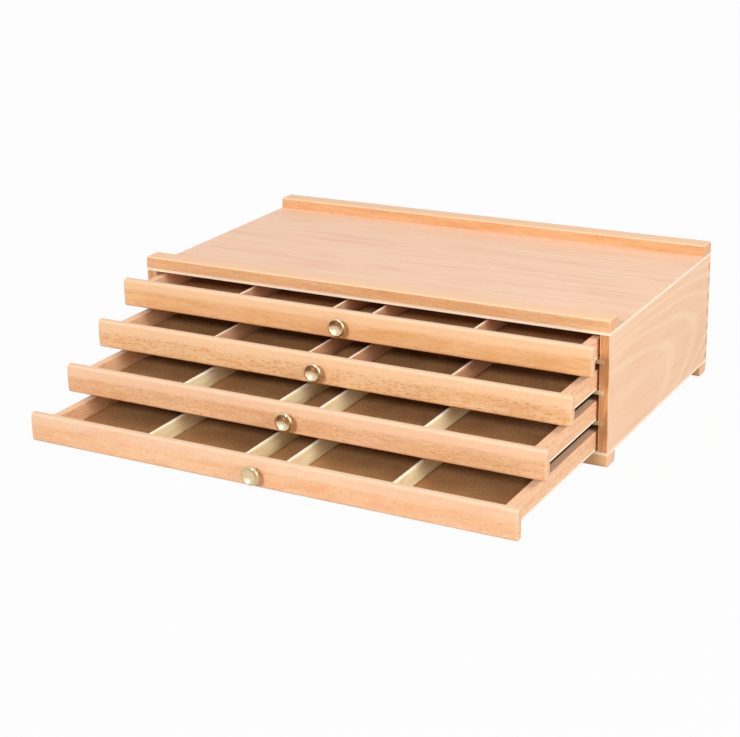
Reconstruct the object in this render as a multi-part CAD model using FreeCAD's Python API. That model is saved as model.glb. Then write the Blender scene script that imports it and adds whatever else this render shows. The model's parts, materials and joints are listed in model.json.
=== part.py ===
"""A low wooden box of four shallow drawers, each split into five compartments.

Millimetres, +X to the right, +Y to the back, +Z up. The origin is on the floor, under the
middle of the box as it stands with its drawers drawn out in steps.
Each drawer is built as if it were closed, then drawn out by its own amount.
"""
import FreeCAD, Part
import math
import os
from FreeCAD import Vector

# Case
case_width = 400.0
case_depth = 225.0
side_thickness = 7.5
panel_thickness = 2.5
back_thickness = 4.0
back_fingers = 7
rail_depth = 16.0
rail_height = 9.0
rail_round = 1.5
foot_depth = 16.0
foot_height = 9.5
foot_round = 3.0

# Runners that carry the upper drawers; the lowest drawer slides on the bottom panel
runner_width = 9.0
runner_thickness = 3.0
runner_groove_depth = 4.0

# How far each drawer stands drawn out of the closed case
top_drawer_pull = 27.0
second_drawer_pull = 63.0
third_drawer_pull = 105.0
bottom_drawer_pull = 151.0

# Drawers
front_thickness = 6.0
front_height = 22.0
front_rise = 5.0
front_drop = 2.0
front_top_round = 3.0
front_low_round = 1.0
side_board_thickness = 6.5
back_board_thickness = 6.0
drawer_bottom_thickness = 2.0
divider_thickness = 3.0
centre_compartment_width = 31.0
groove_depth = 2.0

# Knob and its screw
knob_diameter = 14.2
knob_projection = 7.5
knob_rim_depth = 2.4
knob_rim_width = 1.3
knob_dish_depth = 2.0
knob_base_diameter = 8.0
knob_base_depth = 1.0
knob_neck_diameter = 6.0
knob_flare_hollow = 0.8
knob_edge_round = 0.5
screw_diameter = 3.0
screw_head_diameter = 6.0
screw_head_height = 1.8
screw_bite = 4.0
screw_recess_width = 1.0
screw_recess_depth = 0.9

# Named clearances
running_gap = 0.2
closing_gap = 0.2
side_gap = 2.0
rear_gap = 3.0
head_room = 3.5
front_gap = 1.5
screw_clearance = 0.2

# Worked out from the values above
drawn_out = {1: top_drawer_pull, 2: second_drawer_pull, 3: third_drawer_pull, 4: bottom_drawer_pull}
drawer_count = len(drawn_out)
body_height = front_height - front_rise - front_drop
drawer_pitch = front_height + front_gap
interior_height = (drawer_count - 1) * drawer_pitch + body_height + running_gap + head_room
floor_top = foot_height + panel_thickness
side_top = floor_top + interior_height
top_face = side_top + panel_thickness
half_width = case_width / 2
inner_half_width = half_width - side_thickness
front_reach = closing_gap + front_thickness + knob_projection
case_front = -(case_depth - max(drawn_out.values()) - front_reach) / 2
case_back = case_front + case_depth
back_front = case_back - back_thickness
body_half_width = inner_half_width - side_gap
compartment_half_width = body_half_width - side_board_thickness
body_front = case_front - closing_gap
body_back = back_front - rear_gap
wide_compartment = (compartment_half_width - centre_compartment_width / 2 - 2 * divider_thickness) / 2
inner_divider = (centre_compartment_width + divider_thickness) / 2
outer_divider = inner_divider + divider_thickness + wide_compartment


def box(x, y, z):
    """A block from its low and high value along each axis."""
    return Part.makeBox(x[1] - x[0], y[1] - y[0], z[1] - z[0], Vector(x[0], y[0], z[0]))


def edges_along_x(shape, y, z):
    """The straight edges along X that lie at the given y and z."""
    near = 1e-6
    found = []
    for edge in shape.Edges:
        low = edge.BoundBox
        if low.XLength > near and low.YLength < near and low.ZLength < near:
            if abs(low.YMin - y) < near and abs(low.ZMin - z) < near:
                found.append(edge)
    return found


def rounded_bar(y, z, rounds):
    """A bar across the full width; rounds holds a radius, y and z for each rounded long edge."""
    bar = box((-half_width, half_width), y, z)
    for radius, edge_y, edge_z in rounds:
        bar = bar.makeFillet(radius, edges_along_x(bar, edge_y, edge_z))
    return bar


def top_rail(y):
    """A bar on the top panel, with its two upper edges rounded."""
    high = top_face + rail_height
    return rounded_bar(y, (top_face, high), [(rail_round, y[0], high), (rail_round, y[1], high)])


def foot_bar(y):
    """A bar under the bottom panel, with its two lower edges rounded."""
    return rounded_bar(y, (0.0, foot_height), [(foot_round, y[0], 0.0), (foot_round, y[1], 0.0)])


def panel(low):
    """A thin panel over the whole plan of the case."""
    return box((-half_width, half_width), (case_front, case_back), (low, low + panel_thickness))


def level(number):
    """The height on which the numbered drawer slides."""
    return floor_top + (drawer_count - number) * drawer_pitch


def mirrored(shape, side):
    """The shape as it is for side 1, or its mirror image across the middle for side -1."""
    if side > 0:
        return shape
    return shape.mirror(Vector(0, 0, 0), Vector(1, 0, 0))


def finger_blocks():
    """The blocks at the right rear corner that belong to the back, from the lowest one up."""
    unit = interior_height / (2 * back_fingers)
    blocks = []
    for finger in range(back_fingers):
        low = floor_top + 2 * finger * unit
        blocks.append(box((inner_half_width, half_width), (back_front, case_back), (low, low + unit)))
    return blocks


def runner(number):
    """The right runner under the numbered drawer, let into the side for part of its width."""
    outer = inner_half_width + runner_groove_depth
    high = level(number)
    return box((outer - runner_width, outer), (case_front, back_front), (high - runner_thickness, high))


def case_side():
    """The right side: a board with a groove for each runner and notches for the back's fingers."""
    board = box((inner_half_width, half_width), (case_front, case_back), (floor_top, side_top))
    cuts = finger_blocks()
    for number in range(1, drawer_count):
        cuts.append(runner(number))
    return board.cut(cuts)


def case_back_board():
    """The back: a board between the sides with fingers through both of them."""
    board = box((-inner_half_width, inner_half_width), (back_front, case_back), (floor_top, side_top))
    fingers = []
    for side in (-1, 1):
        for block in finger_blocks():
            fingers.append(mirrored(block, side))
    return board.fuse(fingers).removeSplitter()


def body_levels(number):
    """Bottom, floor and top heights of the numbered drawer's body."""
    low = level(number) + running_gap
    return low, low + drawer_bottom_thickness, low + body_height


def front_levels(number):
    """Lower and upper edge of the numbered drawer's front."""
    low, _, high = body_levels(number)
    return low - front_drop, high + front_rise


def knob_height(number):
    """The knob sits at the middle of the front's height."""
    low, high = front_levels(number)
    return (low + high) / 2


def drawer_side(number):
    """The right side board, housed at its front end in the front."""
    _, floor, high = body_levels(number)
    return box((compartment_half_width, body_half_width), (body_front - groove_depth, body_back), (floor, high))


def drawer_bottom(number):
    """The thin bottom under the side boards and the back board."""
    low, floor, _ = body_levels(number)
    return box((-body_half_width, body_half_width), (body_front, body_back), (low, floor))


def divider(number, x):
    """One divider, housed in the front and in the back board."""
    _, floor, high = body_levels(number)
    back = body_back - back_board_thickness + groove_depth
    half = divider_thickness / 2
    return box((x - half, x + half), (body_front - groove_depth, back), (floor, high))


def dividers(number):
    """The four dividers, from left to right."""
    return [divider(number, x) for x in (-outer_divider, -inner_divider, inner_divider, outer_divider)]


def drawer_back(number):
    """The back board between the side boards, grooved for the dividers."""
    _, floor, high = body_levels(number)
    board = box((-compartment_half_width, compartment_half_width),
                (body_back - back_board_thickness, body_back), (floor, high))
    return board.cut(dividers(number))


def drawer_front(number):
    """The front over the full width, housed for the boards behind it and bored for the screw."""
    face = body_front - front_thickness
    z = front_levels(number)
    board = rounded_bar((face, body_front), z, [(front_top_round, face, z[1]), (front_low_round, face, z[0])])
    bore_radius = screw_diameter / 2 + screw_clearance
    bore = Part.makeCylinder(bore_radius, front_thickness, Vector(0, face, knob_height(number)), Vector(0, 1, 0))
    sides = [mirrored(drawer_side(number), side) for side in (-1, 1)]
    return board.cut(sides + dividers(number) + [bore])


def hollow_arc(start, end, depth):
    """An arc from start to end whose middle lies the given depth off their chord, towards the axis."""
    chord = end - start
    across = Vector(chord.y, -chord.x, 0).normalize()
    middle = (start + end) * 0.5 + across * depth
    return Part.Arc(start, middle, end).toShape()


def knob(number):
    """A turned knob: a round base and a neck that flares to a head with a raised rim.

    The dish inside the rim is part of a ball whose centre lies on the knob's axis.
    """
    z = knob_height(number)
    face = body_front - front_thickness
    radius = knob_diameter / 2
    rim_back = knob_projection - knob_rim_depth

    def at(distance, reach):
        return Vector(distance, face - reach, z)

    neck = at(knob_neck_diameter / 2, knob_base_depth)
    flare_end = at(radius - knob_edge_round, rim_back)
    dish = radius - knob_rim_width
    dish_floor = knob_projection - knob_dish_depth
    ball = (dish ** 2 + knob_dish_depth ** 2) / (2 * knob_dish_depth)
    half_turn = math.asin(dish / ball) / 2
    dish_middle = at(ball * math.sin(half_turn), dish_floor + ball * (1 - math.cos(half_turn)))
    before = [at(0, 0), at(knob_base_diameter / 2, 0), at(knob_base_diameter / 2, knob_base_depth), neck]
    after = [flare_end, at(radius, rim_back + knob_edge_round), at(radius, knob_projection - knob_edge_round),
             at(radius - knob_edge_round, knob_projection), at(dish, knob_projection)]
    edges = Part.makePolygon(before).Edges + [hollow_arc(neck, flare_end, knob_flare_hollow)]
    edges += Part.makePolygon(after).Edges
    edges.append(Part.Arc(after[-1], dish_middle, at(0, dish_floor)).toShape())
    edges.append(Part.makeLine(at(0, dish_floor), before[0]))
    body = Part.Face(Part.Wire(edges)).revolve(at(0, 0), Vector(0, 1, 0), 360)
    return body.cut(knob_screw(number))


def knob_screw(number):
    """The slotted screw through the front, with its head inside the drawer."""
    z = knob_height(number)
    tip = body_front - front_thickness - screw_bite
    shank = Part.makeCylinder(screw_diameter / 2, body_front - tip, Vector(0, tip, z), Vector(0, 1, 0))
    head_radius = screw_head_diameter / 2
    head = Part.makeCylinder(head_radius, screw_head_height, Vector(0, body_front, z), Vector(0, 1, 0))
    head_back = body_front + screw_head_height
    half = screw_recess_width / 2
    recess = box((-head_radius, head_radius), (head_back - screw_recess_depth, head_back), (z - half, z + half))
    return shank.fuse(head).removeSplitter().cut(recess)


def case_parts():
    """Every piece of the fixed case, by name."""
    front = (case_front, case_front + rail_depth)
    rear = (case_back - rail_depth, case_back)
    parts = {
        "case_bottom_panel": panel(foot_height),
        "case_top_panel": panel(side_top),
        "case_back_panel": case_back_board(),
        "case_front_top_rail": top_rail(front),
        "case_rear_top_rail": top_rail(rear),
        "case_front_foot_bar": foot_bar((case_front, case_front + foot_depth)),
        "case_rear_foot_bar": foot_bar((case_back - foot_depth, case_back)),
    }
    for name, side in (("left", -1), ("right", 1)):
        parts[f"case_{name}_side"] = mirrored(case_side(), side)
        for number in range(1, drawer_count):
            parts[f"{name}_runner_{number}"] = mirrored(runner(number), side)
    return parts


def drawer_parts(number):
    """Every piece of one drawer by name, drawn out by its own amount."""
    parts = {
        "front": drawer_front(number),
        "left_side": mirrored(drawer_side(number), -1),
        "right_side": drawer_side(number),
        "back": drawer_back(number),
        "bottom": drawer_bottom(number),
        "knob": knob(number),
        "knob_screw": knob_screw(number),
    }
    for place, board in enumerate(dividers(number), start=1):
        parts[f"divider_{place}"] = board
    pull = Vector(0, -drawn_out[number], 0)
    return {f"drawer_{number}_{name}": shape.translated(pull) for name, shape in parts.items()}


def main():
    os.makedirs("parts", exist_ok=True)
    parts = case_parts()
    for number in drawn_out:
        parts.update(drawer_parts(number))
    for name, shape in parts.items():
        shape.exportStep(f"parts/{name}.step")
        print(name, shape.isValid(), len(shape.Solids), round(shape.Volume, 1))


main()
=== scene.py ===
import bpy
import json
import math
import numpy as np
from mathutils import Matrix, Vector

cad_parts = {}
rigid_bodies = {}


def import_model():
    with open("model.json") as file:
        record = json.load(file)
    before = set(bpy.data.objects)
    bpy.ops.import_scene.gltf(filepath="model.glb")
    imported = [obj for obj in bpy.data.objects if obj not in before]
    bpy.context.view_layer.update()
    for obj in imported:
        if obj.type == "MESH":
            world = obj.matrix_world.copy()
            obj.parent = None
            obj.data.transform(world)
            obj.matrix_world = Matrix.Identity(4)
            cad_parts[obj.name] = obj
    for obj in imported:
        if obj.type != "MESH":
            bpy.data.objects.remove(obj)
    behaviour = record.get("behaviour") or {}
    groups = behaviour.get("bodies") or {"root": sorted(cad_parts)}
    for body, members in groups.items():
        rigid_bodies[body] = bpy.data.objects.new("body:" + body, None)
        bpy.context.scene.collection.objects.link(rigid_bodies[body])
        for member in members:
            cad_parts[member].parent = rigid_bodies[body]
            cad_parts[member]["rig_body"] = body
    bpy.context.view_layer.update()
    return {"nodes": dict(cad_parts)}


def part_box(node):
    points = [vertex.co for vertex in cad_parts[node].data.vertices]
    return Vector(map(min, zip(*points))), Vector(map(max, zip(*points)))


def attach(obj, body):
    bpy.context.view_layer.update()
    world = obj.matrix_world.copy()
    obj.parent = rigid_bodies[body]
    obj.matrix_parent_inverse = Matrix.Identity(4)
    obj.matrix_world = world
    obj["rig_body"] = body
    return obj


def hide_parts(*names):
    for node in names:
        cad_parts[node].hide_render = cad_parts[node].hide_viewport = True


# A low beech box of four shallow drawers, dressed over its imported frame.
# Metres, +X to the right, +Y to the back, +Z up, as in the frame itself.

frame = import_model()

MM = 0.001
X, Y, Z = 0, 1, 2
DRAWERS = (1, 2, 3, 4)
DIVIDERS = (1, 2, 3, 4)
RUNNERS = (1, 2, 3)
HANDS = ("left", "right")

# How far the joiner took the corners off, in metres
SANDED = 0.4 * MM
CRISP = 0.25 * MM
RAIL_ROUND = 1.5 * MM
FOOT_ROUND = 3.0 * MM
FRONT_TOP_ROUND = 2.4 * MM
FRONT_LOW_ROUND = 1.9 * MM
FRONT_BACK_ROUND = 2.6 * MM
FRONT_ENDS = 1.6 * MM
# The face leans back a little over its top, where the sander ran off it
FRONT_LEAN = 0.9 * MM
FRONT_LEAN_FROM = 8.5 * MM
FRONT_LEAN_ROUND = 40.0 * MM
BAR_ENDS = 1.2 * MM
# The most of its own radius that a corner gives up at the very end of a piece
END_SHARE = 0.8
DIVIDER_TOP = 1.2 * MM
# The fingers where the back board meets the sides: their corners, play and number
JOINT_CORNER = 0.12 * MM
FINGER_FIT = 0.01 * MM
BACK_FINGERS = 7
# How far a runner's end stands out of its groove, in front of the side's edge
RUNNER_PROUD = 0.12 * MM
# Points round a turned knob
KNOB_AROUND = 72

# Points on each rounded corner or eased end: more where the eye sees more
CORNER_STEPS = 4
RAIL_STEPS = 6
FOOT_STEPS = 8
FRONT_CORNER_STEPS = 8
FRONT_END_STEPS = 7
KNOB_STEPS = 9


# ---------------------------------------------------------------- shapes

def rounded(corners, radii, steps):
    """A closed outline, anticlockwise, with every corner turned over on an arc.

    Each arc touches both of its edges at radius / tan(half the corner's angle) from the
    corner. Its points are the arc's centre plus the radius times a direction that turns
    evenly from one touching point to the other. Returns points, outward directions, radii.
    """
    corners = np.asarray(corners, float)
    radii = np.broadcast_to(radii, len(corners))[:, None]
    before = np.roll(corners, 1, axis=0) - corners
    after = np.roll(corners, -1, axis=0) - corners
    before = before / np.linalg.norm(before, axis=1, keepdims=True)
    after = after / np.linalg.norm(after, axis=1, keepdims=True)
    half = np.arccos((before * after).sum(axis=1, keepdims=True)) / 2
    middle = (before + after) / np.linalg.norm(before + after, axis=1, keepdims=True)
    centres = corners + middle * radii / np.sin(half)
    start = (corners + before * radii / np.tan(half) - centres) / radii
    end = (corners + after * radii / np.tan(half) - centres) / radii
    share = np.linspace(0, 1, steps)[None, :, None]
    turn = (math.pi - 2 * half)[:, None]
    arcs = np.sin((1 - share) * turn) * start[:, None] + np.sin(share * turn) * end[:, None]
    arcs = arcs / np.sin(turn)
    points = centres[:, None] + arcs * radii[:, None]
    bulges = np.sign(before[:, 1] * after[:, 0] - before[:, 0] * after[:, 1])[:, None, None]
    return points.reshape(-1, 2), (arcs * bulges).reshape(-1, 2), np.repeat(radii[:, 0], steps)


def made(name, points, faces, normals):
    """A mesh object from points, faces and the surface's own direction at each point."""
    mesh = bpy.data.meshes.new(name)
    mesh.from_pydata(points.tolist(), [], faces)
    mesh.shade_smooth()
    mesh.normals_split_custom_set_from_vertices(normals.tolist())
    piece = bpy.data.objects.new(name, mesh)
    bpy.context.scene.collection.objects.link(piece)
    return piece


def carried(name, outline, along, low, high, ends, steps=CORNER_STEPS):
    """A milled piece: an outline carried along an axis, with both of its ends eased over.

    The outline's two coordinates follow the axis in the order X, Y, Z, X, Y. At a station of
    angle a, from 0 at the very end to 90 degrees, a point has moved in by e * (1 - sin a) and
    along by e * (1 - cos a), where e is the easing, or most of the corner's own radius if that
    is less, so that no corner shrinks to a point.
    steps is the number of stations on each end. Each end is closed by a ladder of quads
    between the outline's first half and its second.
    """
    points, directions, radii = outline
    ease = np.minimum(ends, END_SHARE * radii)[None, :]
    angle = np.linspace(0, math.pi / 2, steps)
    angle = np.concatenate([angle, angle[::-1]])[:, None]
    from_low = np.arange(2 * steps)[:, None] < steps
    travel = ease * (1 - np.cos(angle))
    inset = (ease * (1 - np.sin(angle)))[:, :, None]
    section = points[None] - inset * directions[None]
    across, up = (along + 1) % 3, (along + 2) % 3
    place = np.empty(section.shape[:2] + (3,))
    place[..., along] = np.where(from_low, low + travel, high - travel)
    place[..., across] = section[..., 0]
    place[..., up] = section[..., 1]
    facing = np.empty_like(place)
    facing[..., along] = np.where(from_low, -np.cos(angle), np.cos(angle))
    facing[..., across] = np.sin(angle) * directions[:, 0]
    facing[..., up] = np.sin(angle) * directions[:, 1]
    grid = np.arange(place.shape[0] * place.shape[1]).reshape(place.shape[:2])
    ahead = np.roll(grid, -1, axis=1)
    quads = np.stack([grid[:-1], ahead[:-1], ahead[1:], grid[1:]], axis=-1).reshape(-1, 4)
    rung = np.arange(len(points) // 2 - 1)
    over = len(points) - 1 - rung
    ladder = np.stack([rung, rung + 1, over - 1, over], axis=-1)
    faces = quads.tolist() + grid[0][ladder][:, ::-1].tolist() + grid[-1][ladder].tolist()
    return made(name, place.reshape(-1, 3), faces, facing.reshape(-1, 3))


def turned(name, centre, corners, radii, steps):
    """A piece turned on a lathe whose axis points out of the drawer, towards -Y.

    The profile is an outline of radius against distance out, from the axis round to the axis
    again. A point is the centre plus radius * (cos a, 0, sin a) minus the distance along Y.
    Its share of the way along the profile is kept as an attribute, for the finish.
    """
    points, directions, _ = rounded(corners, radii, steps)
    rings, lean = points[steps:-steps], directions[steps:-steps]
    angle = np.linspace(0, 2 * math.pi, KNOB_AROUND, endpoint=False)[None, :]
    round_x, round_z = np.cos(angle), np.sin(angle)
    flat = np.ones_like(angle)
    place = np.stack([rings[:, :1] * round_x, -rings[:, 1:] * flat, rings[:, :1] * round_z], axis=-1)
    facing = np.stack([lean[:, :1] * round_x, -lean[:, 1:] * flat, lean[:, :1] * round_z], axis=-1)
    poles = np.array([[0.0, 0.0, 0.0], [0.0, -corners[-1][1], 0.0]])
    place = np.concatenate([place.reshape(-1, 3), poles]) + np.asarray(centre)
    facing = np.concatenate([facing.reshape(-1, 3), [[0.0, 1.0, 0.0], [0.0, -1.0, 0.0]]])
    grid = np.arange(len(rings) * KNOB_AROUND).reshape(len(rings), KNOB_AROUND)
    ahead = np.roll(grid, -1, axis=1)
    quads = np.stack([grid[:-1], ahead[:-1], ahead[1:], grid[1:]], axis=-1).reshape(-1, 4)
    back, face = grid.size, grid.size + 1
    back_fan = np.stack([np.full(KNOB_AROUND, back), ahead[0], grid[0]], axis=-1)
    face_fan = np.stack([np.full(KNOB_AROUND, face), grid[-1], ahead[-1]], axis=-1)
    faces = quads.tolist() + back_fan.tolist() + face_fan.tolist()
    piece = made(name, place, faces, facing)
    share = np.repeat(np.linspace(0, 1, len(rings)), KNOB_AROUND)
    along = piece.data.attributes.new("along_profile", "FLOAT", "POINT")
    along.data.foreach_set("value", np.concatenate([share, [0.0, 1.0]]).astype(np.float32))
    return piece


def dress(piece, node, finish):
    """The piece stands for a node of the frame, rides on its body and takes a finish."""
    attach(piece, frame["nodes"][node]["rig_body"])
    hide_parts(node)
    piece.data.materials.append(finish)
    return piece


def board(node, along, finish, corners=SANDED, ends=SANDED, steps=CORNER_STEPS):
    """A straight board or bar of the node's own size, with its corners and ends eased."""
    low, high = (np.array(corner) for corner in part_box(node))
    p, q = (along + 1) % 3, (along + 2) % 3
    section = [(low[p], low[q]), (high[p], low[q]), (high[p], high[q]), (low[p], high[q])]
    outline = rounded(section, corners, steps)
    piece = carried(node + "_board", outline, along, low[along], high[along], ends, steps)
    return dress(piece, node, finish)


def drawer_front(node, finish):
    """A front whose face leans back over its top third before it turns over the edge."""
    low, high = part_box(node)
    section = [(low.y, low.z), (high.y, low.z), (high.y, high.z), (low.y + FRONT_LEAN, high.z),
               (low.y, high.z - FRONT_LEAN_FROM)]
    radii = (FRONT_LOW_ROUND, FRONT_BACK_ROUND, SANDED, FRONT_TOP_ROUND, FRONT_LEAN_ROUND)
    outline = rounded(section, radii, FRONT_CORNER_STEPS)
    piece = carried(node + "_board", outline, X, low.x, high.x, FRONT_ENDS, FRONT_END_STEPS)
    return dress(piece, node, finish)


def stair(low, high, near, far):
    """Corners of an edge cut into equal fingers, from low to high: near, then far, in turn.

    Every finger stops a little short of its marks, so no two corners lie at one height.
    """
    marks = np.linspace(low, high, 2 * BACK_FINGERS + 1)
    reach = np.where(np.arange(2 * BACK_FINGERS) % 2 == 0, near, far)
    starts = np.stack([marks[:-1] + FINGER_FIT, reach], axis=-1)
    stops = np.stack([marks[1:] - FINGER_FIT, reach], axis=-1)
    return np.stack([starts, stops], axis=1).reshape(-1, 2)


# ---------------------------------------------------------------- materials

SMOOTH = {"interpolation_type": "SMOOTHSTEP"}
WHITE = (1.0, 1.0, 1.0, 1.0)


def linear(hex_colour):
    """An sRGB hex value as the linear colour that the shaders take."""
    parts = [int(hex_colour[start:start + 2], 16) / 255 for start in (1, 3, 5)]
    return tuple(p / 12.92 if p <= 0.04045 else ((p + 0.055) / 1.055) ** 2.4 for p in parts) + (1.0,)


def in_use(sockets, name):
    """The socket of that name that the node's settings leave in use, or the one of that number."""
    if isinstance(name, int):
        return sockets[name]
    return next(socket for socket in sockets if socket.enabled and name in ("", socket.name))


def put(tree, kind, inputs=None, stops=None, **settings):
    """Adds a node: its settings, then constants or links for its inputs, then a ramp's stops.

    A link may be given as a socket, or as a node, which stands for its first output in use.
    """
    node = tree.nodes.new(kind)
    for name, value in settings.items():
        setattr(node, name, value)
    for name, value in (inputs or {}).items():
        socket = in_use(node.inputs, name)
        if isinstance(value, bpy.types.Node):
            tree.links.new(in_use(value.outputs, ""), socket)
        elif isinstance(value, bpy.types.NodeSocket):
            tree.links.new(value, socket)
        else:
            socket.default_value = value
    if stops:
        elements = node.color_ramp.elements
        while len(elements) < len(stops):
            elements.new(0.5)
        for element, (place, colour) in zip(elements, stops):
            element.position = place
            element.color = linear(colour)
    return node


def empty_material(name):
    """A material with a cleared tree, its tree, and the spot on the object being shaded."""
    material = bpy.data.materials.new(name)
    material.use_nodes = True
    tree = material.node_tree
    tree.nodes.clear()
    return material, tree, put(tree, "ShaderNodeTexCoord").outputs["Object"]


def cell(along, with_grain_mm, across_mm):
    """The size of one cell of a pattern that is drawn out along the grain, in metres."""
    size = [across_mm * MM] * 3
    size[along] = with_grain_mm * MM
    return tuple(size)


def drawn_out(tree, spot, size, detail=2.0, roughness=0.5, lean=0.0):
    """Soft noise with one bump to a cell of the given size; a lean turns it about Y, in degrees."""
    at = put(tree, "ShaderNodeMapping", {
        "Vector": spot, "Rotation": (0.0, math.radians(lean), 0.0), "Scale": size}, vector_type="TEXTURE")
    return put(tree, "ShaderNodeTexNoise", {
        "Vector": at, "Scale": 1.0, "Detail": detail, "Roughness": roughness})


def facing(tree, along, start=0.6, stop=0.9, most=1.0, either_way=True):
    """From 0 to the most as the surface turns to face along an axis, or against it too."""
    normal = put(tree, "ShaderNodeTexCoord").outputs["Normal"]
    part = put(tree, "ShaderNodeSeparateXYZ", {0: normal}).outputs[along]
    if either_way:
        part = put(tree, "ShaderNodeMath", {0: part}, operation="ABSOLUTE")
    return put(tree, "ShaderNodeMapRange", {
        "Value": part, "From Min": start, "From Max": stop, "To Max": most}, **SMOOTH)


def wavering(tree, spot, along, by_mm):
    """The spot pushed about by a slow noise, so that straight grain wanders as it grew."""
    drift = drawn_out(tree, spot, cell(along, 140, 45), detail=1.0).outputs["Color"]
    centred = put(tree, "ShaderNodeVectorMath", {0: drift, 1: (0.5, 0.5, 0.5)}, operation="SUBTRACT")
    push = put(tree, "ShaderNodeVectorMath", {0: centred, "Scale": by_mm * MM}, operation="SCALE")
    return put(tree, "ShaderNodeVectorMath", {0: spot, 1: push}, operation="ADD")


def beech(name, along, tones, streak_mm=(90, 7), fibre_mm=(16, 0.9), fibre=0.35, flecks=None, blush=None,
          top_edge_and_sheen_tone=None, top_sheen_from=(0.45, 0.85), crest_sheen=None, arches=None, end_tones=("#d9ab88", "#e6bc9b"),
          end_from=(0.6, 0.9), end_streaks=None, roughness=0.5):
    """Steamed beech, planed and sanded, under a thin matt sealer.

    A close, even wood: the eye sees slow bands of tone along the grain, very fine fibre, and
    the short dark ray flecks of a flat-sawn face. End grain is duller and pinker. Real fibre is
    under 0.1 mm, too fine to show, so it is drawn 0.7 to 0.9 mm wide.
    tones run from the darkest band to the palest. The top tone is a painted highlight: the sheen
    that light from above puts on a face as its normal rises through its range, and on the
    dividers partly the pale edge of the strip. The crest is the tone of a painted highlight on the
    first of the turn, where the face starts to lean back, and how much of it shows. blush is the
    tone of soft redder clouds and how much of it shows.
    flecks, arches and end_streaks are the settings of ray_flecks, cathedral and
    side_front_edge.
    """
    material, tree, spot = empty_material(name)
    wavy = wavering(tree, spot, along, 9)
    streak = drawn_out(tree, wavy, cell(along, *streak_mm), detail=3.0, roughness=0.55)
    fibres = drawn_out(tree, wavy, cell(along, *fibre_mm), roughness=0.6)
    grain = put(tree, "ShaderNodeMix", {"Factor": fibre, "A": streak, "B": fibres})
    colour = put(tree, "ShaderNodeValToRGB", {0: grain},
                 stops=[(0.36, tones[0]), (0.5, tones[1]), (0.64, tones[2])])

    layers = []
    if arches:
        layers.append((linear(arches["tone"]), cathedral(tree, wavy, arches)))
    if blush:
        clouds = drawn_out(tree, spot, cell(along, 34, 11))
        layers.append((linear(blush[0]), put(tree, "ShaderNodeMapRange", {
            "Value": clouds, "From Min": 0.5, "From Max": 0.7, "To Max": blush[1]}, **SMOOTH)))
    if flecks:
        layers.append((linear(flecks["tone"]), ray_flecks(tree, wavy, along, flecks)))
    # Painted highlights: a paler tone where the face starts to turn up, and the top tone on faces that look
    # up, for the sheen of light from above
    if crest_sheen:
        layers.append((linear(crest_sheen[0]), facing(tree, Z, 0.02, 0.11, crest_sheen[1], either_way=False)))
    if top_edge_and_sheen_tone:
        layers.append((linear(top_edge_and_sheen_tone), facing(tree, Z, *top_sheen_from, either_way=False)))
    if end_streaks:
        layers.append((side_front_edge(tree, spot, end_tones, end_streaks), facing(tree, along)))
    else:
        rings = drawn_out(tree, spot, cell(along, 30, 0.8))
        ends = put(tree, "ShaderNodeValToRGB", {0: rings}, stops=[(0.4, end_tones[0]), (0.6, end_tones[1])])
        layers.append((ends, facing(tree, along, *end_from)))
    for tone, share in layers:
        colour = put(tree, "ShaderNodeMix", {"Factor": share, "A": colour, "B": tone}, data_type="RGBA")

    bump = put(tree, "ShaderNodeBump", {"Height": fibres, "Strength": 0.25, "Distance": 0.05 * MM})
    surface = put(tree, "ShaderNodeBsdfPrincipled", {
        "Base Color": colour, "Roughness": roughness, "IOR": 1.5, "Normal": bump})
    put(tree, "ShaderNodeOutputMaterial", {"Surface": surface})
    return material


def ray_flecks(tree, spot, along, flecks):
    """Share of ray fleck: short spindles along the grain, thinned out in drifting patches.

    Every cell of a stretched Voronoi pattern holds one spindle, dark near the cell's point;
    a cell keeps it only if its own random number is under the share kept there.
    """
    at = put(tree, "ShaderNodeMapping", {
        "Vector": spot, "Scale": cell(along, *flecks["cell_mm"])}, vector_type="TEXTURE")
    pattern = put(tree, "ShaderNodeTexVoronoi", {"Vector": at, "Scale": 1.0}, feature="F1")
    spindle = put(tree, "ShaderNodeMapRange", {
        "Value": pattern.outputs["Distance"], "From Min": 0.1, "From Max": flecks["size"],
        "To Min": flecks["depth"], "To Max": 0.0}, **SMOOTH)
    chance = put(tree, "ShaderNodeSeparateColor", {0: pattern.outputs["Color"]})
    wanted = put(tree, "ShaderNodeMapRange", {
        "Value": drawn_out(tree, spot, cell(along, 60, 14)), "From Min": 0.2, "From Max": 0.5,
        "To Max": flecks["kept"]})
    kept = put(tree, "ShaderNodeMath", {0: chance, 1: wanted}, operation="LESS_THAN")
    return put(tree, "ShaderNodeMath", {0: spindle, 1: kept}, operation="MULTIPLY")


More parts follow.
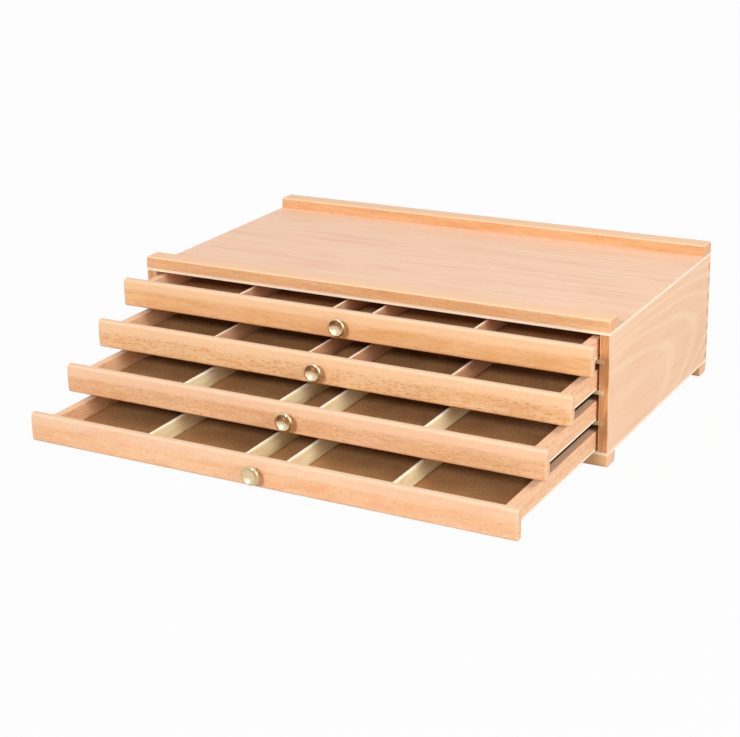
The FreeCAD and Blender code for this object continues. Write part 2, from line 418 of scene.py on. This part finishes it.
def cathedral(tree, spot, arches):
    """Share of the pale lines where a flat-sawn side cuts the growth rings into arches.

    With u along the arches' axis and w across it, in millimetres from the inner arch's tip,
    f is u + w * w / opening, and a line shows where (f / step) to the power of growth is whole.
    Inside the inner arch f is negative and the wood is plain. A slow sway moves each line a
    little, so that none is drawn with a compass.
    """
    across, high = arches["tip_mm"]
    leaned = put(tree, "ShaderNodeMapping", {
        "Vector": spot, "Location": (0.0, across * MM, high * MM),
        "Rotation": (math.radians(arches["lean"]), 0.0, 0.0), "Scale": (MM, MM, MM)}, vector_type="TEXTURE")
    parts = put(tree, "ShaderNodeSeparateXYZ", {0: leaned})
    square = put(tree, "ShaderNodeMath", {0: parts.outputs[Z], 1: 2.0}, operation="POWER")
    f = put(tree, "ShaderNodeMath", {
        0: square, 1: 1 / arches["opening_mm"], 2: parts.outputs[Y]}, operation="MULTIPLY_ADD")
    outside = put(tree, "ShaderNodeMath", {0: f, 1: 0.0}, operation="MAXIMUM")
    steps = put(tree, "ShaderNodeMath", {0: outside, 1: arches["step_mm"]}, operation="DIVIDE")
    rings = put(tree, "ShaderNodeMath", {0: steps, 1: arches["growth"]}, operation="POWER")
    sway = put(tree, "ShaderNodeMapRange", {
        "Value": drawn_out(tree, spot, cell(Y, 60, 45)), "To Min": -0.15, "To Max": 0.15})
    swayed = put(tree, "ShaderNodeMath", {0: rings, 1: sway}, operation="ADD")
    away = put(tree, "ShaderNodeMath", {0: swayed, 1: 0.5}, operation="PINGPONG")
    line = put(tree, "ShaderNodeMapRange", {
        "Value": away, "From Max": arches["wide"], "To Min": arches["depth"], "To Max": 0.0}, **SMOOTH)
    shown = put(tree, "ShaderNodeMapRange", {"Value": f, "From Min": -7.0, "From Max": 0.0}, **SMOOTH)
    return put(tree, "ShaderNodeMath", {0: line, 1: shown}, operation="MULTIPLY")


def side_front_edge(tree, spot, tones, streaks):
    """The upright edge of a side board: leaning dark streaks between two pale eased corners."""
    grain = drawn_out(tree, spot, cell(Z, *streaks["cell_mm"]), detail=3.0, lean=streaks["lean"])
    bands = put(tree, "ShaderNodeValToRGB", {0: grain}, stops=[(0.38, tones[0]), (0.56, tones[1])])
    parts = put(tree, "ShaderNodeSeparateXYZ", {0: spot})
    from_axis = put(tree, "ShaderNodeMath", {0: parts.outputs[X]}, operation="ABSOLUTE")
    off_middle = put(tree, "ShaderNodeMath", {0: from_axis, 1: streaks["middle"]}, operation="SUBTRACT")
    reach = put(tree, "ShaderNodeMath", {0: off_middle}, operation="ABSOLUTE")
    corner = put(tree, "ShaderNodeMapRange", {
        "Value": reach, "From Min": streaks["half"] - 0.8 * MM, "From Max": streaks["half"] - 0.4 * MM})
    return put(tree, "ShaderNodeMix", {
        "Factor": corner, "A": bands, "B": linear(streaks["corner"])}, data_type="RGBA")


def thin_ply(name, face_tones, cloud_tone, flecks, edge_tones, low, thick):
    """Thin plywood with a sliced beech veneer outside: pink, straight-grained and smooth.

    Its sawn edge shows the sheets one on another: a pale birch core that reads as a cream
    line round the box, a thin dark glue line, and the pinker sheet under the outer veneer.
    cloud_tone is the tone of soft redder clouds in the veneer, and flecks its fine ray flecks.
    low is the height of the panel's underside and thick its thickness.
    """
    material, tree, spot = empty_material(name)
    wavy = wavering(tree, spot, X, 6)
    streak = drawn_out(tree, wavy, cell(X, 190, 2.6), detail=4.0)
    fibres = drawn_out(tree, wavy, cell(X, 60, 1.1))
    grain = put(tree, "ShaderNodeMix", {"Factor": 0.35, "A": streak, "B": fibres})
    veneer = put(tree, "ShaderNodeValToRGB", {0: grain},
                 stops=[(0.32, face_tones[0]), (0.48, face_tones[1]), (0.66, face_tones[2])])
    clouds = put(tree, "ShaderNodeMapRange", {
        "Value": drawn_out(tree, spot, cell(X, 90, 12)), "From Min": 0.52, "From Max": 0.72,
        "To Max": 0.5}, **SMOOTH)
    figured = put(tree, "ShaderNodeMix", {
        "Factor": clouds, "A": veneer, "B": linear(cloud_tone)}, data_type="RGBA")
    flecked = put(tree, "ShaderNodeMix", {
        "Factor": ray_flecks(tree, wavy, X, flecks), "A": figured,
        "B": linear(flecks["tone"])}, data_type="RGBA")
    parts = put(tree, "ShaderNodeSeparateXYZ", {0: spot})
    height = put(tree, "ShaderNodeMapRange", {
        "Value": parts.outputs[Z], "From Min": low, "From Max": low + thick})
    core, glue, sheet = edge_tones
    edge = put(tree, "ShaderNodeValToRGB", {0: height}, stops=[(0.68, core), (0.74, glue), (0.8, sheet)])
    colour = put(tree, "ShaderNodeMix", {
        "Factor": facing(tree, Z), "A": edge, "B": flecked}, data_type="RGBA")
    bump = put(tree, "ShaderNodeBump", {"Height": fibres, "Strength": 0.2, "Distance": 0.04 * MM})
    surface = put(tree, "ShaderNodeBsdfPrincipled", {
        "Base Color": colour, "Roughness": 0.45, "IOR": 1.5, "Normal": bump})
    put(tree, "ShaderNodeOutputMaterial", {"Surface": surface})
    return material


def hardboard(name, tones, edge_tone):
    """Pressed wood-fibre board: brown, matt and softly speckled by its felted fibres.

    Its trimmed edge is pale, so each drawer bottom shows as a cream line under the side. Real
    fibres are about 0.3 mm wide, so the speckle is drawn 1.6 mm across to show.
    """
    material, tree, spot = empty_material(name)
    patches = drawn_out(tree, spot, cell(X, 36, 36), detail=3.0)
    felt = drawn_out(tree, spot, cell(X, 1.6, 1.6), detail=3.0, roughness=0.7)
    speckle = put(tree, "ShaderNodeMix", {"Factor": 0.6, "A": patches, "B": felt})
    face = put(tree, "ShaderNodeValToRGB", {0: speckle},
               stops=[(0.34, tones[0]), (0.5, tones[1]), (0.66, tones[2])])
    colour = put(tree, "ShaderNodeMix", {
        "Factor": facing(tree, Z), "A": linear(edge_tone), "B": face}, data_type="RGBA")
    bump = put(tree, "ShaderNodeBump", {"Height": felt, "Strength": 0.3, "Distance": 0.08 * MM})
    surface = put(tree, "ShaderNodeBsdfPrincipled", {
        "Base Color": colour, "Roughness": 0.7, "IOR": 1.45, "Normal": bump})
    put(tree, "ShaderNodeOutputMaterial", {"Surface": surface})
    return material


def pale_brass(name):
    """Turned yellow brass, tumbled and lacquered: a pale champagne shine that is rubbed bright
    on the rim and softer in the bowl. The brown in the crease and round the neck is tarnish
    deepened by painted shade for these hollows, and the flank's more golden tone is a painted
    reflection of the wood.
    """
    material, tree, spot = empty_material(name)
    along = put(tree, "ShaderNodeAttribute", attribute_name="along_profile").outputs["Fac"]
    # Darker in the crease inside the rim and round the neck: painted shade there as well as tarnish. More
    # golden on the flank: a painted reflection of the wood.
    tarnish_and_shade = put(tree, "ShaderNodeValToRGB", {0: along}, stops=[
        (0.0, "#8a6f42"), (0.42, "#ad8c50"), (0.52, "#cdb686"), (0.66, "#e2d5b2"),
        (0.735, "#d0b88c"), (0.76, "#ab8f62"), (0.8, "#dac19a"), (1.0, "#e8d0ae")])
    spots = drawn_out(tree, spot, cell(X, 2.4, 2.4), detail=3.0)
    worn = put(tree, "ShaderNodeMapRange", {"Value": spots, "To Max": 0.25})
    colour = put(tree, "ShaderNodeMix", {
        "Factor": worn, "A": tarnish_and_shade, "B": linear("#c4aa7c")}, data_type="RGBA")
    dull = put(tree, "ShaderNodeMapRange", {"Value": spots, "To Min": 0.24, "To Max": 0.36})
    rough = put(tree, "ShaderNodeMapRange", {
        "Value": along, "From Min": 0.7, "From Max": 0.8, "To Min": 0.13, "To Max": dull})
    surface = put(tree, "ShaderNodeBsdfPrincipled", {
        "Base Color": colour, "Metallic": 1.0, "Roughness": rough})
    put(tree, "ShaderNodeOutputMaterial", {"Surface": surface})
    return material


def plated_steel(name):
    """Rolled and zinc-plated screw steel: grey, with a faint patchy sheen."""
    material, tree, spot = empty_material(name)
    spots = drawn_out(tree, spot, cell(X, 1.1, 1.1))
    tone = put(tree, "ShaderNodeValToRGB", {0: spots}, stops=[(0.3, "#9da0a2"), (0.7, "#c3c5c6")])
    surface = put(tree, "ShaderNodeBsdfPrincipled", {
        "Base Color": tone, "Metallic": 1.0, "Roughness": 0.35})
    put(tree, "ShaderNodeOutputMaterial", {"Surface": surface})
    return material


# The four fronts come from one plank but show its face differently
FRONT_TONES = {
    1: ("#e3a86e", "#eeb781", "#f4c593"),
    2: ("#e5b07c", "#efc08f", "#f4cea1"),
    3: ("#e4ad7e", "#eebd90", "#f5cca8"),
    4: ("#eeb688", "#f6c397", "#fad0a8"),
}
FRONT_FLECKS = {
    1: {"cell_mm": (6, 1.2), "size": 0.42, "kept": 0.7, "depth": 0.35, "tone": "#cf8f58"},
    2: {"cell_mm": (5.5, 1.4), "size": 0.48, "kept": 0.85, "depth": 0.8, "tone": "#d98648"},
    3: {"cell_mm": (4.5, 1.0), "size": 0.45, "kept": 0.95, "depth": 0.6, "tone": "#cc8354"},
    4: {"cell_mm": (4.5, 1.3), "size": 0.42, "kept": 0.7, "depth": 0.4, "tone": "#d48c5c"},
}
FRONT_BLUSH = {
    1: ("#e5a060", 0.35),
    2: ("#eaa96c", 0.3),
    3: ("#e09a68", 0.3),
    4: ("#f0a472", 0.55),
}
# Painted highlight where each front's face leans back over its top: its tone, and how much of it shows
FRONT_CREST_SHEEN = {
    1: ("#f4caa1", 0.75),
    2: ("#f4cba3", 0.75),
    3: ("#f5cbaa", 0.75),
    4: ("#efcbb1", 0.5),
}


def front_finish(drawer):
    """The finish of one drawer's front."""
    # The crest tone and the top tone are painted highlights, the sheen of light from above
    return beech(f"sanded_beech_front_{drawer}", X, FRONT_TONES[drawer], fibre_mm=(9, 0.7), fibre=0.5,
                 flecks=FRONT_FLECKS[drawer], blush=FRONT_BLUSH[drawer], crest_sheen=FRONT_CREST_SHEEN[drawer],
                 top_edge_and_sheen_tone="#f2ceb0", end_tones=("#e2a87e", "#f2c8a4"), end_from=(0.3, 0.95))


# The front rail's own tones, and darker, browner ones for the rear rail that are painted shade
LIT_AND_SHADED_RAIL_TONES = {
    "front": ("#dfa471", "#eab483", "#f1c396"),
    "rear": ("#d29865", "#dca675", "#e3b487"),
}
RAIL_FLECKS = {"cell_mm": (4.5, 1.2), "size": 0.42, "kept": 0.7, "depth": 0.45, "tone": "#cc8354"}


def rail_finish(place):
    """The finish of one of the two top rails."""
    # The top tone is a painted highlight, the sheen on the rail's top face
    return beech(f"sanded_beech_{place}_rail", X, LIT_AND_SHADED_RAIL_TONES[place], fibre_mm=(9, 0.7), fibre=0.45,
                 flecks=RAIL_FLECKS, top_edge_and_sheen_tone="#fcd1ab", top_sheen_from=(0.2, 0.7),
                 end_tones=("#dfa374", "#eebc8e"))


# The arches on the sides of the case, and the streaks on the sides' front edges
side_arches = {"tip_mm": (98, 42), "lean": 8.0, "opening_mm": 18.5, "step_mm": 63.0, "growth": 1.27,
               "tone": "#fde0be", "depth": 0.42, "wide": 0.28}
side_low, side_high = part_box("case_right_side")
edge_streaks = {"cell_mm": (40, 1.7), "lean": 9.0, "corner": "#f4c694",
                "middle": (side_low.x + side_high.x) / 2, "half": (side_high.x - side_low.x) / 2}
board_flecks = {"cell_mm": (6, 1.3), "size": 0.48, "tone": "#cf8450", "kept": 0.95, "depth": 0.45}
foot_beech = beech("sanded_beech_foot", X, ("#eeb47c", "#f6c18a", "#fccd9a"),
                   end_tones=("#e8b088", "#f6cba6"))
side_beech = beech("planed_beech_side", Y, ("#f0c29f", "#f3c8a5", "#f6ceae"), streak_mm=(120, 9), fibre=0.35,
                   arches=side_arches, end_tones=("#c88c5a", "#dba271"), end_streaks=edge_streaks)
back_beech = beech("planed_beech_back", X, ("#efbd97", "#f4c8a3", "#f8d2af"), streak_mm=(120, 9),
                   end_tones=("#d39c7c", "#e0ab8b"))
# The drawer boards' top tone is a painted highlight on their top edges
drawer_beech = beech("planed_beech_drawer_board", Y, ("#e8af84", "#f3c398", "#fad1a9"), streak_mm=(60, 3),
                     fibre_mm=(9, 0.7), fibre=0.5, flecks=board_flecks, top_edge_and_sheen_tone="#f3cba9",
                     end_tones=("#c9976a", "#d8a97e"))
drawer_back_beech = beech("planed_beech_drawer_back", X, ("#c98f66", "#d59f77", "#deae88"))
runner_beech = beech("planed_beech_runner", Y, ("#c49d76", "#cfaa82", "#d8b58f"),
                     end_tones=("#d0b68c", "#dcc49b"))
# The dividers' top tone is partly the pale edge of the strip and partly painted highlight
red_divider = beech("darker_redder_divider", Y, ("#c69370", "#d0a07b", "#d8ab8a"), top_edge_and_sheen_tone="#fdf0dc",
                    top_sheen_from=(0.75, 0.95))
pale_divider = beech("sliced_poplar_divider", Y, ("#efdaa8", "#f8e8bb", "#fff4d2"), streak_mm=(40, 5),
                     top_edge_and_sheen_tone="#fffcf0", top_sheen_from=(0.75, 0.95), end_tones=("#dccb9c", "#e8dab0"))
# The ply panels: their veneer, its flecks and clouds, and the sheets that the sawn edge shows
PANEL_TONES = ("#f6c5a5", "#fdd3b5", "#ffdcc2")
PANEL_FLECKS = {"cell_mm": (4.5, 1.2), "size": 0.45, "kept": 0.8, "depth": 0.3, "tone": "#e2aa8a"}
PANEL_CLOUD = "#f2bb9b"
PLY_EDGE = ("#ffefd8", "#e6c4a2", "#fadcc0")


def panel_finish(node):
    """The finish of one of the two ply panels, at its own height."""
    low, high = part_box(node)
    return thin_ply(f"veneered_ply_{node}", PANEL_TONES, PANEL_CLOUD, PANEL_FLECKS, PLY_EDGE,
                    low.z, high.z - low.z)


brown_board = hardboard("pressed_fibre_hardboard", ("#8f673f", "#ab7d50", "#c39668"), "#ffedd0")
knob_brass = pale_brass("tumbled_champagne_brass")
screw_steel = plated_steel("zinc_plated_steel")


# ---------------------------------------------------------------- the case

for panel in ("case_top_panel", "case_bottom_panel"):
    board(panel, X, panel_finish(panel), corners=CRISP, ends=CRISP)

rail_corners = (CRISP, CRISP, RAIL_ROUND, RAIL_ROUND)
for place in LIT_AND_SHADED_RAIL_TONES:
    board(f"case_{place}_top_rail", X, rail_finish(place), corners=rail_corners,
          ends=BAR_ENDS, steps=RAIL_STEPS)

foot_corners = (FOOT_ROUND, FOOT_ROUND, CRISP, CRISP)
for foot in ("case_front_foot_bar", "case_rear_foot_bar"):
    board(foot, X, foot_beech, corners=foot_corners, ends=BAR_ENDS, steps=FOOT_STEPS)

back_low, back_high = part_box("case_back_panel")
for hand in HANDS:
    node = f"case_{hand}_side"
    low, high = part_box(node)
    rear = stair(low.z, high.z, back_low.y, high.y)[:, ::-1]
    corners = np.concatenate([[(low.y, low.z)], rear, [(low.y, high.z)]])
    points, directions, radii = (part[CORNER_STEPS:-CORNER_STEPS]
                                 for part in rounded(corners, JOINT_CORNER, CORNER_STEPS))
    # The straight front edge has a point for each of the fingers', at the same height
    front_edge = np.stack([np.full(len(points), low.y), points[::-1, 1]], axis=-1)
    forward = np.broadcast_to((-1.0, 0.0), front_edge.shape)
    outline = (np.concatenate([points, front_edge]), np.concatenate([directions, forward]),
               np.concatenate([radii, np.full(len(points), SANDED)]))
    side = carried(node + "_board", outline, X, low.x, high.x, SANDED)
    dress(side, node, side_beech)

left_edge = stair(back_low.z, back_high.z, back_low.x, -side_low.x)
right_edge = stair(back_low.z, back_high.z, back_high.x, side_low.x)[::-1]
back_outline = rounded(np.concatenate([left_edge, right_edge]), JOINT_CORNER, CORNER_STEPS)
back = carried("case_back_board", back_outline, Y, back_low.y, back_high.y, SANDED)
dress(back, "case_back_panel", back_beech)

for hand in HANDS:
    for number in RUNNERS:
        node = f"{hand}_runner_{number}"
        low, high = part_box(node)
        section = [(low.z, low.x), (high.z, low.x), (high.z, high.x), (low.z, high.x)]
        strip = carried(node + "_strip", rounded(section, CRISP, CORNER_STEPS), Y,
                        low.y - RUNNER_PROUD, high.y, CRISP)
        dress(strip, node, runner_beech)


# ---------------------------------------------------------------- the drawers

# Radius from the knob's axis and distance out from the front's face, in millimetres
knob_corners = np.array([(0, 0), (4.0, 0), (4.0, 1.0), (3.0, 1.0), (3.2, 3.6),
                         (7.1, 5.0), (7.1, 7.5), (5.8, 7.5), (3.245, 5.5), (0, 5.5)]) * MM
knob_radii = np.array([0.01, 0.2, 0.4, 0.3, 2.2, 0.5, 0.9, 0.9, 8.2, 0.01]) * MM

divider_corners = (SANDED, DIVIDER_TOP, DIVIDER_TOP, SANDED)
# The two upper drawers have darker, redder dividers than the two lower ones
RED_DIVIDED = (1, 2)
for drawer in DRAWERS:
    name = f"drawer_{drawer}"
    drawer_front(f"{name}_front", front_finish(drawer))
    for hand in HANDS:
        board(f"{name}_{hand}_side", Y, drawer_beech)
    board(f"{name}_bottom", X, brown_board, corners=CRISP, ends=CRISP)
    divider_finish = red_divider if drawer in RED_DIVIDED else pale_divider
    for divider in DIVIDERS:
        board(f"{name}_divider_{divider}", Y, divider_finish, corners=divider_corners)
    for kept, finish in ((f"{name}_back", drawer_back_beech), (f"{name}_knob_screw", screw_steel)):
        slots = frame["nodes"][kept].data.materials
        slots.clear()
        slots.append(finish)
    low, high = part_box(f"{name}_knob")
    centre = ((low.x + high.x) / 2, high.y, (low.z + high.z) / 2)
    knob = turned(f"{name}_knob_turned", centre, knob_corners, knob_radii, KNOB_STEPS)
    dress(knob, f"{name}_knob", knob_brass)


# ---------------------------------------------------------------- floor, light and camera

FLOOR_SIZE = 6.0
FLOOR_GLOW = 0.97
ROOM_LIGHT = 0.34


def seen_straight(tree):
    """1 where the eye sees the backdrop itself, in a mirror or through glass, and 0 as a light."""
    path = put(tree, "ShaderNodeLightPath")
    straight = put(tree, "ShaderNodeMath", {
        0: path.outputs["Is Camera Ray"], 1: path.outputs["Is Glossy Ray"]}, operation="MAXIMUM")
    return put(tree, "ShaderNodeMath", {
        0: straight, 1: path.outputs["Is Transmission Ray"]}, operation="MAXIMUM")


def white_floor():
    """A plain white floor that keeps a faint shadow of the box."""
    half = FLOOR_SIZE / 2
    corners = [(-half, -half, 0.0), (half, -half, 0.0), (half, half, 0.0), (-half, half, 0.0)]
    mesh = bpy.data.meshes.new("studio_floor")
    mesh.from_pydata(corners, [], [(0, 1, 2, 3)])
    floor = bpy.data.objects.new("studio_floor", mesh)
    bpy.context.scene.collection.objects.link(floor)
    material, tree, _ = empty_material("white_paper_floor")
    share = put(tree, "ShaderNodeMath", {0: seen_straight(tree), 1: FLOOR_GLOW}, operation="MULTIPLY")
    paper = put(tree, "ShaderNodeBsdfDiffuse", {"Color": linear("#bcbcbc")})
    glow = put(tree, "ShaderNodeEmission", {"Color": WHITE, "Strength": 1.0})
    mixed = put(tree, "ShaderNodeMixShader", {0: share, 1: paper, 2: glow})
    put(tree, "ShaderNodeOutputMaterial", {"Surface": mixed})
    mesh.materials.append(material)


def white_world():
    """White all round: dimmer where it lights the box than where it is seen."""
    world = bpy.data.worlds.new("soft_white_room")
    bpy.context.scene.world = world
    world.use_nodes = True
    tree = world.node_tree
    tree.nodes.clear()
    lighting = put(tree, "ShaderNodeBackground", {"Color": linear("#fff0de"), "Strength": ROOM_LIGHT})
    backdrop = put(tree, "ShaderNodeBackground", {"Color": WHITE, "Strength": 1.0})
    mixed = put(tree, "ShaderNodeMixShader", {0: seen_straight(tree), 1: lighting, 2: backdrop})
    put(tree, "ShaderNodeOutputWorld", {"Surface": mixed})


def soft_lamp(name, place, size, power):
    """A square soft box that points at the middle of the drawers."""
    data = bpy.data.lights.new(name, "AREA")
    data.size = size
    data.energy = power
    lamp = bpy.data.objects.new(name, data)
    bpy.context.scene.collection.objects.link(lamp)
    lamp.location = place
    aim = Vector((0.0, 0.0, 0.05)) - Vector(place)
    lamp.rotation_euler = aim.to_track_quat("-Z", "Y").to_euler()


def camera(place, azimuth, elevation, roll, lens):
    """A camera by its place and the way it looks: azimuth 0 looks along +Y, in degrees."""
    turn, rise, tilt = math.radians(azimuth), math.radians(elevation), math.radians(roll)
    back = Vector((math.sin(turn) * math.cos(rise), -math.cos(turn) * math.cos(rise), math.sin(rise)))
    right = (-back).cross(Vector((0.0, 0.0, 1.0))).normalized()
    up = right.cross(-back)
    level_right = math.cos(tilt) * right + math.sin(tilt) * up
    level_up = math.cos(tilt) * up - math.sin(tilt) * right
    data = bpy.data.cameras.new("product_camera")
    data.lens = lens
    data.sensor_width = 36.0
    seen_by = bpy.data.objects.new("product_camera", data)
    bpy.context.scene.collection.objects.link(seen_by)
    axes = Matrix((level_right, level_up, back)).transposed().to_4x4()
    seen_by.matrix_world = Matrix.Translation(place) @ axes
    bpy.context.scene.camera = seen_by


white_floor()
white_world()
soft_lamp("key_soft_box", (-0.12, -3.43, 2.1), 0.7, 84.0)
soft_lamp("right_soft_box", (2.12, -0.57, 1.03), 1.4, 36.0)
soft_lamp("top_soft_box", (0.0, -0.2, 2.2), 1.8, 3.5)
soft_lamp("glint_lamp", (1.38, -1.98, 0.7), 0.12, 2.0)
camera(Vector((0.58994, -1.06509, 0.48087)), azimuth=29.45, elevation=20.04, roll=-1.58, lens=80.13)
bpy.context.scene.view_settings.view_transform = "Standard"
